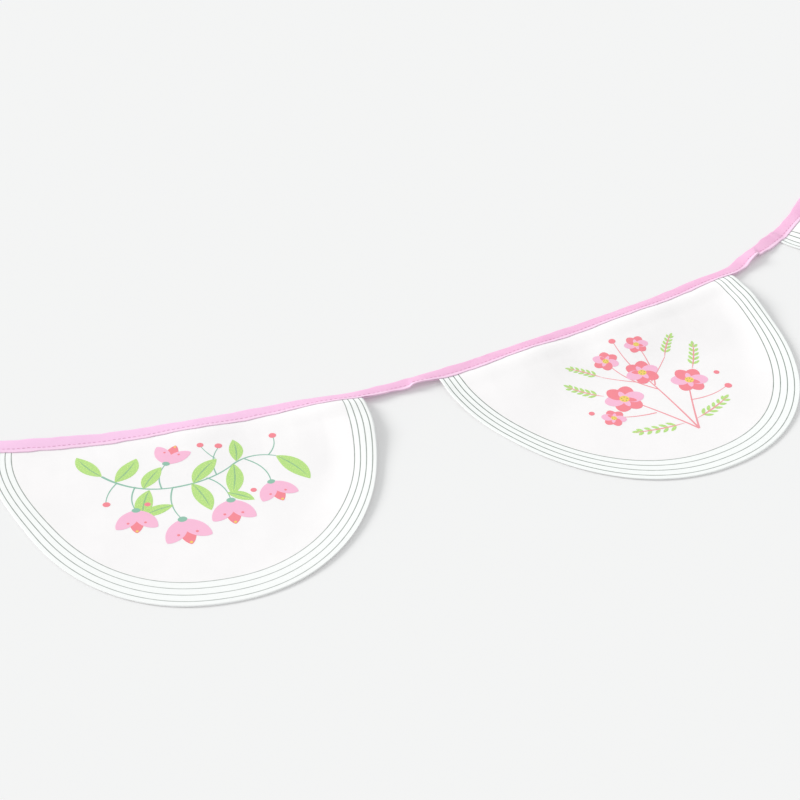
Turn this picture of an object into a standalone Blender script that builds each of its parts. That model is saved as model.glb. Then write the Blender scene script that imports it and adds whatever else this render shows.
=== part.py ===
"""Fabric bunting: three scalloped cloth pennants whose top edges are held in one folded binding tape.

The whole length lies on a flat surface, z = 0. Units are metres and degrees, +Z is up. The origin is
the middle of the bunting's bounding box, on that surface.
"""

import math

import bmesh
import bpy
import numpy as np

# Driving sizes of the cloth

PENNANT_WIDTH = 0.220  # along the tape
PENNANT_DEPTH = 0.149  # from the tape's lower edge to the foot of the scallop
SCALLOP_POWER = 2.15  # 2 gives half an ellipse, and more gives a fuller curve
TUCK = 0.0085  # how far a pennant's top edge goes up inside the folded tape
LEAVE = 0.001  # a pennant keeps the tape's own plane for this far below it
TAPE_WIDTH = 0.011  # of the folded tape
CLOTH = 0.001  # thickness of the pennants' cloth
PLY = 0.001  # thickness of each of the tape's two plies
GAP = 0.0003  # between cloth and ply
PLIES_APART = 0.0004  # between the two plies where they hold no pennant
SLOT_TAPER = 0.008  # length over which the plies close beside a pennant
SLOT_MARGIN = 0.0015  # the plies stay open this far past a pennant's side
OPEN_SLOT = (CLOTH + PLY) / 2 + GAP  # from the cloth's middle to the middle of a ply
CLOSED_SLOT = (PLIES_APART + PLY) / 2  # the same where the plies hold no cloth

# How the cloth comes down from the tape

FALL = 0.060  # length over which a pennant comes down onto the surface
RISE = 0.030  # length over which its rim's lift and its ridges come in
RUN = 0.016  # length over which it still keeps some of the tape's tilt
DRIFT_PEAK = 4 / 27  # the furthest that a drift reaches, as a share of its length
EASE = 0.075  # length over which the tape's bend fades out of a pennant
RIM_SHARE = 0.26  # outer share of a pennant that lifts off the surface

# How finely the sheets are divided

COLUMNS = 30  # along a pennant
ROWS = 13  # down a pennant's scallop
TUCK_ROWS = 2  # inside the tape
GAP_STEPS = 7  # along the tape between two pennants
TAIL_STEPS = 9  # along one tail
PLY_STEPS = 2  # across one ply
FOLD_STEPS = 4  # round the tape's fold
TRACE_STEP = 0.0005  # of the sums that follow the tape's bends

# Where the tape begins: the middle of its left end
START = (-0.41041, -0.20307)

# The tape, a row for each bend or twist: the place along it (0 is the first pennant's left side),
# the heading of the tape there, its tilt about its own line (plus lifts the folded edge) and how far
# its lowest side clears the surface.
TAPE_COLUMNS = ("along", "heading", "tilt", "lift")
TAPE_ROWS = (
    (-0.130, 1.0, 0.0, 0.0002),
    (-0.105, 1.2, 0.0, 0.0002),
    (-0.060, 1.5, -4.0, 0.0002),
    (0.000, -0.5, 0.0, 0.0002),
    (0.029, 7.0, 4.0, 0.0002),
    (0.059, 9.0, 0.0, 0.0002),
    (0.089, 14.0, -5.0, 0.0002),
    (0.119, 15.0, -11.0, 0.0002),
    (0.149, 16.5, -5.0, 0.0002),
    (0.179, 16.5, -13.0, 0.0002),
    (0.206, 12.0, -22.0, 0.0002),
    (0.223, 20.5, -17.5, 0.0002),
    (0.245, 22.5, -12.5, 0.0002),
    (0.259, 24.5, -17.0, 0.0002),
    (0.272, 24.0, -8.0, 0.0002),
    (0.302, 28.0, -10.0, 0.0002),
    (0.332, 28.0, -16.0, 0.0002),
    (0.362, 27.5, -10.0, 0.0002),
    (0.393, 29.5, -16.0, 0.0002),
    (0.419, 29.0, -17.0, 0.0002),
    (0.445, 33.5, -13.0, 0.0002),
    (0.469, 32.5, -15.0, 0.0002),
    (0.487, 29.0, -18.0, 0.0002),
    (0.503, 52.0, -8.5, 0.0003),
    (0.519, 46.5, -18.0, 0.0004),
    (0.533, 49.0, -7.0, 0.0004),
    (0.548, 47.0, 1.5, 0.0003),
    (0.564, 55.0, -14.0, 0.0002),
    (0.583, 60.5, -9.0, 0.0002),
    (0.604, 63.0, -8.0, 0.0002),
    (0.655, 63.0, -12.0, 0.0002),
    (0.705, 65.0, -7.0, 0.0002),
    (0.755, 66.0, -15.0, 0.0002),
    (0.785, 68.0, -6.0, 0.0008),
    (0.872, 69.7, 0.0, 0.0002),
    (0.897, 70.0, 0.0, 0.0002),
)

# The pennants, a row for each: where its left side meets the tape, how far its foot leans along the
# tape, how far its upper half bows sideways along the tape, and how far its rim lifts off the
# surface at its left side, foot and right side.
PENNANT_COLUMNS = ("start", "lean", "bow", "left", "foot", "right")
PENNANT_ROWS = (
    (0.000, 3.2, 0.0016, 0.0004, 0.0005, 0.0036),
    (0.270, 0.6, -0.0014, 0.0004, 0.0005, 0.0040),
    (0.547, 1.0, 0.0, 0.0004, 0.0005, 0.0032),
)

# Soft ridges that run down from the tape: the pennant they are in, their place from its middle, half
# their width, their height, and how far down they reach.
RIDGE_COLUMNS = ("pennant", "across", "half_width", "height", "reach")
RIDGE_ROWS = (
    (0, -0.052, 0.016, 0.0006, 0.070),
    (0, 0.058, 0.020, 0.0004, 0.060),
    (1, -0.068, 0.022, 0.0006, 0.075),
    (1, 0.004, 0.018, 0.0005, 0.085),
    (2, -0.030, 0.020, 0.0006, 0.075),
    (2, 0.055, 0.018, 0.0005, 0.070),
)

COLLECTION = "fabric_bunting"
CLOTH_COLOUR = (0.96, 0.95, 0.95, 1.0)
TAPE_COLOUR = (0.93, 0.53, 0.77, 1.0)
CLOTH_ROUGHNESS = 0.9


def columns(names, rows):
    """The table as one array for each named column."""
    return dict(zip(names, np.array(rows, float).T))


TAPE = columns(TAPE_COLUMNS, TAPE_ROWS)
PENNANTS = columns(PENNANT_COLUMNS, PENNANT_ROWS)
RIDGES = columns(RIDGE_COLUMNS, RIDGE_ROWS)
TAPE_END = TAPE["along"][-1]


def smooth(places, values, at):
    """A smooth curve through the values: cubic spans whose slopes come from each place's neighbours."""
    slopes = np.gradient(values, places)
    span = np.clip(np.searchsorted(places, at, side="right") - 1, 0, len(places) - 2)
    length = places[span + 1] - places[span]
    t = np.clip((at - places[span]) / length, 0.0, 1.0)
    return (
        values[span] * (1 + 2 * t) * (1 - t) ** 2
        + slopes[span] * length * t * (1 - t) ** 2
        + values[span + 1] * t * t * (3 - 2 * t)
        + slopes[span + 1] * length * t * t * (t - 1)
    )


def ramp(x):
    """0 below 0, 1 above 1, and a soft S between."""
    x = np.clip(x, 0.0, 1.0)
    return x * x * (3 - 2 * x)


def trace_tape():
    """The tape's middle line: the heading, summed over many short steps from its left end."""
    along = np.arange(TAPE["along"][0], TAPE_END + TRACE_STEP / 2, TRACE_STEP)
    heading = np.radians(smooth(TAPE["along"], TAPE["heading"], along + TRACE_STEP / 2))
    x = START[0] + TRACE_STEP * np.concatenate([[0.0], np.cumsum(np.cos(heading))[:-1]])
    y = START[1] + TRACE_STEP * np.concatenate([[0.0], np.cumsum(np.sin(heading))[:-1]])
    return along, x, y


TRACE = trace_tape()


def half_slot(along):
    """Half the distance between the middles of the two plies: wide enough for the cloth at a pennant."""
    beside = np.full(np.shape(along), np.inf)
    for start in PENNANTS["start"]:
        past = np.abs(along - start - PENNANT_WIDTH / 2) - PENNANT_WIDTH / 2 - SLOT_MARGIN
        beside = np.minimum(beside, past)
    return OPEN_SLOT + (CLOSED_SLOT - OPEN_SLOT) * ramp(beside / SLOT_TAPER)


def on_tape(along, across, above):
    """A point given in the tape's own directions: along it, across it from its middle line towards the
    pennants, and above its middle plane."""
    x = np.interp(along, TRACE[0], TRACE[1])
    y = np.interp(along, TRACE[0], TRACE[2])
    heading = np.radians(smooth(TAPE["along"], TAPE["heading"], along))
    tilt = np.radians(smooth(TAPE["along"], TAPE["tilt"], along))
    lift = smooth(TAPE["along"], TAPE["lift"], along)
    lowest = (OPEN_SLOT + PLY / 2) * np.cos(tilt) + TAPE_WIDTH / 2 * np.abs(np.sin(tilt))
    outward = across * np.cos(tilt) + above * np.sin(tilt)
    return np.stack(
        [
            x + np.sin(heading) * outward,
            y - np.cos(heading) * outward,
            lift + lowest - across * np.sin(tilt) + above * np.cos(tilt),
        ],
        axis=-1,
    )


def pennant_frame(index):
    """The flat pennant's place: the middle of its top, its direction along the tape and the one down it."""
    sides = PENNANTS["start"][index] + np.array([0.0, PENNANT_WIDTH])
    ends = on_tape(sides, TAPE_WIDTH / 2 + LEAVE, 0.0)[:, :2]
    chord = ends[1] - ends[0]
    heading = math.atan2(chord[1], chord[0])
    leaning = heading + math.radians(PENNANTS["lean"][index])
    along = np.array([math.cos(heading), math.sin(heading)])
    down = np.array([math.sin(leaning), -math.cos(leaning)])
    return ends.mean(axis=0), along, down


def rim_lift(index, across, below):
    """How far the outer share of a pennant stands off the surface: most at the rim, nothing inside."""
    x = across / (PENNANT_WIDTH / 2)
    y = np.maximum(below, 0.0) / PENNANT_DEPTH
    out = (np.abs(x) ** SCALLOP_POWER + y**SCALLOP_POWER) ** (1 / SCALLOP_POWER)
    turn = np.arctan2(x, y)
    left, foot, right = (PENNANTS[name][index] for name in ("left", "foot", "right"))
    side = (left + right) / 2 + (right - left) / 2 * np.sin(turn)
    height = foot * np.cos(turn) ** 2 + side * np.sin(turn) ** 2
    return height * ramp((out - 1 + RIM_SHARE) / RIM_SHARE)


def ridges(index, across, below):
    """The soft ridges of one pennant: a bell across each, fading with the distance from the tape."""
    height = np.zeros(np.shape(across))
    for row in np.flatnonzero(RIDGES["pennant"] == index):
        beside = (across - RIDGES["across"][row]) / RIDGES["half_width"][row]
        fade = 1 - ramp(below / RIDGES["reach"][row])
        height += RIDGES["height"][row] * np.exp(-(beside**2)) * fade
    return height


def fading(past, length):
    """Two weights over a length past the tape: the share of the held edge's place that is left, 1 to 0,
    and how far the cloth still runs on in the direction in which it left the tape."""
    t = np.clip(past / length, 0.0, 1.0)
    return 1 - 3 * t**2 + 2 * t**3, t * (1 - t) ** 2 * length


def on_pennant(index, across, below):
    """A point of a pennant's middle surface, from its place in the flat cloth: across from its middle
    and below the tape's lower edge. Inside the tape it follows the slot. Below it, it leaves in the
    tape's plane, comes down onto the surface, and takes up the flat pennant's own place."""
    along = PENNANTS["start"][index] + PENNANT_WIDTH / 2 + across
    held = on_tape(along, TAPE_WIDTH / 2 + np.minimum(below, LEAVE), 0.0)
    edge = on_tape(along, TAPE_WIDTH / 2 + LEAVE, 0.0)
    leaving = edge - on_tape(along, TAPE_WIDTH / 2, 0.0)
    leaving /= np.linalg.norm(leaving, axis=-1, keepdims=True)

    middle, chord, down = pennant_frame(index)
    past = np.maximum(below - LEAVE, 0.0)
    flat_edge = middle + across[..., None] * chord
    stay, drift = fading(past, EASE)
    plan = flat_edge + past[..., None] * down
    plan = plan + stay[..., None] * (edge[..., :2] - flat_edge)
    plan = plan + drift[..., None] * (leaving[..., :2] - down)
    bowed = fading(past, PENNANT_DEPTH)[1] / (DRIFT_PEAK * PENNANT_DEPTH)
    plan = plan + PENNANTS["bow"][index] * bowed[..., None] * chord
    stay = fading(past, FALL)[0]
    drift = fading(past, RUN)[1]
    height = CLOTH / 2 + stay * (edge[..., 2] - CLOTH / 2) + drift * leaving[..., 2]
    lifted = rim_lift(index, across, below) + ridges(index, across, below)
    height = height + ramp(past / RISE) * lifted
    inside = (below <= LEAVE)[..., None]
    return np.where(inside, held, np.concatenate([plan, height[..., None]], axis=-1))


def scallop(a, b):
    """Half a superellipse from a square of parameters: a from -1 to 1 across, b from 0 to 1 down."""
    x = a * np.sqrt(1 - b * b / 2)
    y = b * np.sqrt(1 - a * a / 2)
    angle = np.arctan2(y, x)
    full = np.abs(np.cos(angle)) ** SCALLOP_POWER + np.abs(np.sin(angle)) ** SCALLOP_POWER
    reach = full ** (-1 / SCALLOP_POWER)
    depth = PENNANT_DEPTH - LEAVE
    return x * reach * PENNANT_WIDTH / 2, LEAVE + y * reach * depth


def sheet(name, places, thickness, material):
    """A closed sheet: a grid primitive whose points move to the places, with Solidify half each way.
    The places are an array of rows by columns by three."""
    rows, cols = places.shape[:2]
    mesh = bpy.data.meshes.new(name)
    grid = bmesh.new()
    bmesh.ops.create_grid(grid, x_segments=cols - 1, y_segments=rows - 1, size=1.0)
    grid.to_mesh(mesh)
    grid.free()
    start = np.empty(len(mesh.vertices) * 3)
    mesh.vertices.foreach_get("co", start)
    start = start.reshape(-1, 3)
    col = np.rint((start[:, 0] + 1) / 2 * (cols - 1)).astype(int)
    row = np.rint((1 - start[:, 1]) / 2 * (rows - 1)).astype(int)
    mesh.vertices.foreach_set("co", places[row, col].ravel())
    mesh.shade_smooth()
    mesh.update()
    piece = bpy.data.objects.new(name, mesh)
    bpy.data.collections[COLLECTION].objects.link(piece)
    shell = piece.modifiers.new("thickness", "SOLIDIFY")
    shell.thickness = thickness
    shell.offset = 0.0
    shell.use_even_offset = True
    mesh.materials.append(material)
    return piece


def cloth_material(name, colour):
    """Plain matt cloth of one colour."""
    material = bpy.data.materials.new(name)
    material.use_nodes = True
    shader = material.node_tree.nodes["Principled BSDF"]
    shader.inputs["Base Color"].default_value = colour
    shader.inputs["Roughness"].default_value = CLOTH_ROUGHNESS
    shader.inputs["Metallic"].default_value = 0.0
    material.diffuse_color = colour
    return material


def tape_places():
    """The stations along the tape: those of each pennant's columns, and even steps between them."""
    starts = PENNANTS["start"]
    stops = starts + PENNANT_WIDTH
    spans = [np.linspace(TAPE["along"][0], starts[0], TAIL_STEPS + 1)]
    for index, start in enumerate(starts):
        spans.append(np.linspace(start, stops[index], COLUMNS + 1)[1:])
        if index + 1 < len(starts):
            spans.append(np.linspace(stops[index], starts[index + 1], GAP_STEPS + 1)[1:])
    spans.append(np.linspace(stops[-1], TAPE_END, TAIL_STEPS + 1)[1:])
    return np.concatenate(spans)


def tape_piece(material):
    """The folded tape: a U whose fold is its far edge, and whose two plies hold the pennants."""
    along = tape_places()
    half = half_slot(along)[:, None]
    fold_middle = half - TAPE_WIDTH / 2 + PLY / 2
    ply = np.linspace(0, 1, PLY_STEPS + 1)[None, :]
    bend = np.linspace(0, np.pi, FOLD_STEPS + 1)[None, 1:-1]
    upper = TAPE_WIDTH / 2 + (fold_middle - TAPE_WIDTH / 2) * ply
    across = np.concatenate(
        [upper, fold_middle - half * np.sin(bend), upper[:, ::-1]],
        axis=1,
    )
    above = np.concatenate([half + 0 * ply, half * np.cos(bend), -half + 0 * ply], axis=1)
    places = on_tape(along[:, None] + 0 * across, across, above)
    return sheet("binding_tape", places, PLY, material)


def pennant_piece(index, material):
    """One pennant: a strip inside the tape, then the scallop below it."""
    a = np.linspace(-1, 1, COLUMNS + 1)[None, :]
    b = np.linspace(0, 1, ROWS + 1)[:, None]
    across, below = scallop(a + 0 * b, b + 0 * a)
    tuck = np.linspace(-TUCK, LEAVE, TUCK_ROWS + 1)[:-1, None] + 0 * a
    strip = a * PENNANT_WIDTH / 2 + 0 * tuck
    across = np.concatenate([strip, across])
    below = np.concatenate([tuck, below])
    places = on_pennant(index, across, below)
    return sheet("pennant_%d" % (index + 1), places, CLOTH, material)


def main():
    """Clears the scene and builds the tape and its pennants."""
    for thing in list(bpy.data.objects):
        bpy.data.objects.remove(thing)
    bunting = bpy.data.collections.new(COLLECTION)
    bpy.context.scene.collection.children.link(bunting)
    tape_piece(cloth_material("tape_cotton", TAPE_COLOUR))
    for index in range(len(PENNANT_ROWS)):
        pennant_piece(index, cloth_material("pennant_cotton_%d" % (index + 1), CLOTH_COLOUR))


main()
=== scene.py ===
"""Dresses the fabric bunting: thin cotton pennants with printed border lines and flower sprays, the
folded pink tape that holds them, its stitches, and a plain studio stage.

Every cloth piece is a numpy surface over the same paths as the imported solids. Units are metres and
degrees, +Z is up.
"""

import math

import bpy
import numpy as np
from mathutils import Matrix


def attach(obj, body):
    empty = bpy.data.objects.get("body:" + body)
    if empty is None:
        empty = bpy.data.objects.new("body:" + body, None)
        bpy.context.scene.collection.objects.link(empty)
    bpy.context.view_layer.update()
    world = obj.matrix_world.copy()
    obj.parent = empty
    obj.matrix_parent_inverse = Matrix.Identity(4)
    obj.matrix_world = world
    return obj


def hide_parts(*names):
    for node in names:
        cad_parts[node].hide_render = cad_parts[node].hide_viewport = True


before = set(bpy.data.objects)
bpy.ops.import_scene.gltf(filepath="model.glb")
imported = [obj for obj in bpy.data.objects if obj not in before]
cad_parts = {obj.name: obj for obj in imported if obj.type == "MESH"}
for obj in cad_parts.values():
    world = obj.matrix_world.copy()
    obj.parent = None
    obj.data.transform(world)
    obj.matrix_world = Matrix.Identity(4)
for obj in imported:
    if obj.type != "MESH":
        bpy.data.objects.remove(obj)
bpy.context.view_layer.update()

bl_info = {
    "name": "Fabric bunting",
    "version": (1, 0, 0),
    "blender": (4, 5, 0),
    "location": "3D View > Sidebar > Bunting",
    "description": "Makes the cloth, tape, stitches and prints of a length of bunting",
    "category": "Add Mesh",
}

BODY = "root"
MM = 0.001

# Sizes of the cloth, as the solids have them

PENNANT_WIDTH = 0.220  # along the tape
PENNANT_DEPTH = 0.149  # from the tape's lower edge to the foot of the scallop
SCALLOP_POWER = 2.15  # 2 gives half an ellipse, and more gives a fuller curve
TUCK = 0.0085  # how far a pennant's top edge goes up inside the folded tape
LEAVE = 0.001  # a pennant keeps the tape's own plane for this far below it
TAPE_WIDTH = 0.011  # of the folded tape
SLOT_TAPER = 0.008  # length over which the plies close beside a pennant
SLOT_MARGIN = 0.0015  # the plies stay open this far past a pennant's side
FALL = 0.060  # length over which a pennant comes down onto the surface
RISE = 0.030  # length over which its rim's lift and its ridges come in
RUN = 0.016  # length over which it still keeps some of the tape's tilt
DRIFT_PEAK = 4 / 27  # the furthest that a drift reaches, as a share of its length
EASE = 0.075  # length over which the tape's bend fades out of a pennant
RIM_SHARE = 0.26  # outer share of a pennant that lifts off the surface
TRACE_STEP = 0.0005  # of the sums that follow the tape's bends
START = (-0.41041, -0.20307)  # the middle of the tape's left end

# Real thicknesses, finer than the solids

CLOTH = 0.0003
PLY = 0.0003
GAP = 0.00005  # between cloth and ply
PLIES_APART = 0.00003  # between the two plies where they hold no pennant
OPEN_SLOT = (CLOTH + PLY) / 2 + GAP
CLOSED_SLOT = (PLIES_APART + PLY) / 2

# The tape, a row for each bend or twist: the place along it (0 is the first pennant's left side),
# the heading of the tape there, its tilt about its own line (plus lifts the folded edge) and how
# far its lowest side clears the surface.
TAPE_COLUMNS = ("along", "heading", "tilt", "lift")
TAPE_ROWS = (
    (-0.130, 1.0, 0.0, 0.0002),
    (-0.105, 1.2, 0.0, 0.0002),
    (-0.060, 1.5, -4.0, 0.0002),
    (0.000, -0.5, 0.0, 0.0002),
    (0.029, 7.0, 4.0, 0.0002),
    (0.059, 9.0, 0.0, 0.0002),
    (0.089, 14.0, -5.0, 0.0002),
    (0.119, 15.0, -11.0, 0.0002),
    (0.149, 16.5, -5.0, 0.0002),
    (0.179, 16.5, -13.0, 0.0002),
    (0.206, 12.0, -22.0, 0.0002),
    (0.223, 20.5, -17.5, 0.0002),
    (0.245, 22.5, -12.5, 0.0002),
    (0.259, 24.5, -17.0, 0.0002),
    (0.272, 24.0, -8.0, 0.0002),
    (0.302, 28.0, -10.0, 0.0002),
    (0.332, 28.0, -16.0, 0.0002),
    (0.362, 27.5, -10.0, 0.0002),
    (0.393, 29.5, -16.0, 0.0002),
    (0.419, 29.0, -17.0, 0.0002),
    (0.445, 33.5, -13.0, 0.0002),
    (0.469, 32.5, -15.0, 0.0002),
    (0.487, 29.0, -18.0, 0.0002),
    (0.503, 52.0, -8.5, 0.0003),
    (0.519, 46.5, -18.0, 0.0004),
    (0.533, 49.0, -7.0, 0.0004),
    (0.548, 47.0, 1.5, 0.0003),
    (0.564, 55.0, -14.0, 0.0002),
    (0.583, 60.5, -9.0, 0.0002),
    (0.604, 63.0, -8.0, 0.0002),
    (0.655, 63.0, -12.0, 0.0002),
    (0.705, 65.0, -7.0, 0.0002),
    (0.755, 66.0, -15.0, 0.0002),
    (0.785, 68.0, -6.0, 0.0008),
    (0.872, 69.7, 0.0, 0.0002),
    (0.897, 70.0, 0.0, 0.0002),
)

# Creases across the tape: the place along it, the slant from the fold to the open edges, how far
# the twist reaches, and the twist in degrees, which turns over at the crease.
CREASE_ROWS = (
    (0.253, -0.30, 0.010, -5.0),
    (0.525, -0.73, 0.012, 6.0),
    (0.549, 0.00, 0.008, 3.0),
)
CREASE_HALF = 0.0012  # half the length over which a crease's twist turns over

# The pennants: where the left side meets the tape, how far the foot leans and the upper half bows
# along it, the rim's lift at the left side, the foot and the right side, the spacing of the
# printed lines at these places, and how strongly they are printed.
PENNANT_COLUMNS = (
    "start", "lean", "bow", "left", "foot", "right",
    "left_spacing", "foot_spacing", "right_spacing", "print",
)
PENNANT_ROWS = (
    (0.000, 3.2, 0.0016, 0.0004, 0.0005, 0.0036, 0.0034, 0.0049, 0.0031, 0.85),
    (0.270, 0.6, -0.0014, 0.0004, 0.0005, 0.0040, 0.0034, 0.0046, 0.0036, 1.0),
    (0.547, 1.0, 0.0, 0.0004, 0.0005, 0.0032, 0.0034, 0.0046, 0.0036, 1.0),
)

# Soft ridges that run down from the tape: the pennant, the place from its middle, half the width,
# the height, and how far down it reaches.
RIDGE_ROWS = (
    (0, -0.052, 0.016, 0.0006, 0.070),
    (0, 0.058, 0.020, 0.0004, 0.060),
    (1, -0.068, 0.022, 0.0006, 0.075),
    (1, 0.004, 0.018, 0.0005, 0.085),
    (2, -0.030, 0.020, 0.0006, 0.075),
    (2, 0.055, 0.018, 0.0005, 0.070),
)

# Fine unevenness of the cloth and the tape

GATHER_HEIGHT = 0.00028  # of the small gathers under the tape
GATHER_LENGTH = 0.021  # from one gather to the next
GATHER_REACH = 0.020  # how far down they fade
GATHER_SLANT = 0.12  # how far sideways they run, for each length down
WAVE_HEIGHT = 0.00020  # of the low broad waves of a pennant
WAVE_LENGTH = 0.070
WAVE_WAY = (0.8, 0.6)  # the way from crest to crest, across and down
WAVE_WANDER = 0.01  # how far the crests wander
CROSS_SLANT = 0.3  # of the second waves, which cross the first
TAPE_PUFF = 0.00020  # crown of the tape's upper ply between its fold and the stitches
CROWN_POWER = 0.8  # of the half wave that gives the crown its shape
CROWN_UNEVEN = 0.4  # share by which it is higher or lower
CROWN_LENGTH = 0.034  # from one high place to the next
FLARE = 0.00010  # how far the edge past the stitches stands up
FLARE_UNEVEN = 0.7  # share by which it stands higher or lower
EDGE_WANDER = 0.00040  # of the tape's edges, in and out
FREE_WANDER = 1.6  # how many times as far they wander where the tape holds no pennant
EDGE_LENGTH = 0.026  # from one bulge of an edge to the next
STITCH_INSET = 0.0031  # from the tape's lower edge to the stitches
STITCH_UNEVEN = 0.12  # share by which a stitch is longer or shorter
STITCH_RISE = 0.32  # how high its middle lies, in widths of the thread
STITCH_DIP = 0.55  # and how much lower its ends lie
THREAD_FLATNESS = 0.8
ROW_WANDER = 0.00025  # of the row of stitches, in and out
ROW_LENGTH = 0.045  # from one bulge of the row to the next

# Seeds of what is drawn: the first four are for a pennant, whose number is added

GATHER_SEED, WANDER_SEED, WAVE_SEED, CROSS_SEED = 10, 20, 30, 40
CROWN_SEED, FLARE_SEED, EDGE_SEED, ROW_SEED, FOLD_SEED, STITCH_SEED = 5, 6, 7, 8, 9, 11

# How finely the pieces are divided

CLOTH_COLUMNS = 216
CLOTH_ROWS = 104
TUCK_ROWS = 6
TAPE_STEP = 0.0009
PLY_STEPS = 14
FOLD_STEPS = 8
STITCH_RINGS = 6
STITCH_SIDES = 6

# The border: four lines, the first three quarters of a space inside the edge

LINES = 4
FIRST_LINE = 0.75
CLOSE_LINES = 0.0036  # lines this close are printed at full strength
WIDE_LINES = 0.0048  # and lines this far apart are fainter
WIDE_FADE = 0.2  # by this much
LINE_SOFTNESS = 0.4  # share of half a line's width over which its edge fades
BAND_SOFTNESS = 0.1  # and share of a space over which the tinted band fades inwards
WEAR_LEAST = 0.68  # strength of a line where it is worn most
WEAR_RANGE = 0.5  # how much stronger it is where it is not
PAINTED_LIGHT_UNTIL = 0.08  # painted light: the tape is painted paler up to this place along it, as if lit more there
FULL_PINK_FROM = 0.32  # and has its full pink, without that painted light, from this one on

# Noise of the materials, in clouds a metre

CLOTH_CLOUDS, TAPE_CLOUDS, THREAD_CLOUDS, WEAR_CLOUDS, SPECKS = 30.0, 90.0, 260.0, 220.0, 1500.0
SLUBS = 0.25  # clouds for each thread, in the threads' uneven thickness

# How finely the border is measured

OUTLINE_STEPS = 1500

CLOTH_MAP = "flat_cloth"  # UV map that holds a point's place in the flat cloth, in metres
LINE_NUMBER = "line_number"  # attribute: 0 on the outermost line, 1 on the next
LINE_SPACING = "line_spacing"  # attribute: the space between lines, in metres

# The camera: the photograph's angle and frame

CAMERA_PLACE = (-0.04166, -0.99397, 0.691)
CAMERA_PITCH = 50.434  # from straight down
LENS = 81.0
SENSOR = 36.0
FLOOR_SIZE = 12.0
FLOOR_DROP = 0.00005  # the floor lies this far under the cloth


def columns(names, rows):
    """The table as one array for each named column."""
    return dict(zip(names, np.array(rows, float).T))


TAPE = columns(TAPE_COLUMNS, TAPE_ROWS)
PENNANTS = columns(PENNANT_COLUMNS, PENNANT_ROWS)
TAPE_START = TAPE["along"][0]
TAPE_END = TAPE["along"][-1]


def tape_value(name, at):
    """A smooth curve through the tape's values of this name: cubic spans, whose slopes come from
    each row's neighbours."""
    places, values = TAPE["along"], TAPE[name]
    slopes = np.gradient(values, places)
    span = np.clip(np.searchsorted(places, at, side="right") - 1, 0, len(places) - 2)
    length = places[span + 1] - places[span]
    t = np.clip((at - places[span]) / length, 0.0, 1.0)
    return (
        values[span] * (1 + 2 * t) * (1 - t) ** 2
        + slopes[span] * length * t * (1 - t) ** 2
        + values[span + 1] * t * t * (3 - 2 * t)
        + slopes[span + 1] * length * t * t * (t - 1)
    )


def ramp(x):
    """0 below 0, 1 above 1, and a soft S between."""
    x = np.clip(x, 0.0, 1.0)
    return x * x * (3 - 2 * x)


def bell(x):
    """1 in the middle, falling off to nothing past about 2 on either side."""
    return np.exp(-(x**2))


def uneven(place, length, seed):
    """A value that wanders between -1 and 1 along a line: three sine waves of unlike lengths, each
    started at its own drawn point, added up and shared out."""
    starts = np.random.default_rng(seed).uniform(0, 2 * np.pi, 3)
    lengths = length * np.array([1.0, 0.62, 0.37])
    shares = np.array([0.5, 0.3, 0.2])
    waves = np.sin(2 * np.pi * place[..., None] / lengths + starts)
    return (waves * shares).sum(axis=-1)


def trace_tape():
    """The tape's middle line: the heading, summed over many short steps from its left end."""
    along = np.arange(TAPE_START, TAPE_END + TRACE_STEP / 2, TRACE_STEP)
    heading = np.radians(tape_value("heading", along + TRACE_STEP / 2))
    x, y = (
        first + TRACE_STEP * np.concatenate([[0.0], np.cumsum(step)[:-1]])
        for first, step in zip(START, (np.cos(heading), np.sin(heading)))
    )
    return along, x, y


TRACE = trace_tape()


def free_share(along):
    """0 where the tape holds a pennant and 1 where it holds none, with a soft S between."""
    beside = np.full(np.shape(along), np.inf)
    for start in PENNANTS["start"]:
        past = np.abs(along - start - PENNANT_WIDTH / 2) - PENNANT_WIDTH / 2 - SLOT_MARGIN
        beside = np.minimum(beside, past)
    return ramp(beside / SLOT_TAPER)


def half_slot(along):
    """Half the distance between the middles of the two plies: wide enough for the cloth at a
    pennant."""
    return OPEN_SLOT + (CLOSED_SLOT - OPEN_SLOT) * free_share(along)


def twist(along, across):
    """How much further the tape tilts near its creases: the opposite way on the two sides of a
    crease's line, and fading away from it."""
    total = 0.0
    for crease, slant, reach, turn in CREASE_ROWS:
        past = along - crease - slant * across
        total = total + turn * np.tanh(past / CREASE_HALF) * np.exp(-np.abs(past) / reach)
    return total


def on_tape(along, across, above):
    """A point given in the tape's own directions: along it, across it from its middle line
    towards the pennants, and above its middle plane."""
    x = np.interp(along, TRACE[0], TRACE[1])
    y = np.interp(along, TRACE[0], TRACE[2])
    heading = np.radians(tape_value("heading", along))
    tilt = np.radians(tape_value("tilt", along) + twist(along, across))
    lift = tape_value("lift", along)
    lowest = (OPEN_SLOT + PLY / 2) * np.cos(tilt) + TAPE_WIDTH / 2 * np.abs(np.sin(tilt))
    outward = across * np.cos(tilt) + above * np.sin(tilt)
    return np.stack(
        [
            x + np.sin(heading) * outward,
            y - np.cos(heading) * outward,
            lift + lowest - across * np.sin(tilt) + above * np.cos(tilt),
        ],
        axis=-1,
    )


def pennant_frame(index):
    """The flat pennant's place: the middle of its top, its direction along the tape and the one
    down it."""
    sides = PENNANTS["start"][index] + np.array([0.0, PENNANT_WIDTH])
    ends = on_tape(sides, TAPE_WIDTH / 2 + LEAVE, 0.0)[:, :2]
    chord = ends[1] - ends[0]
    heading = math.atan2(chord[1], chord[0])
    leaning = heading + math.radians(PENNANTS["lean"][index])
    along = np.array([math.cos(heading), math.sin(heading)])
    down = np.array([math.sin(leaning), -math.cos(leaning)])
    return ends.mean(axis=0), along, down


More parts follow.
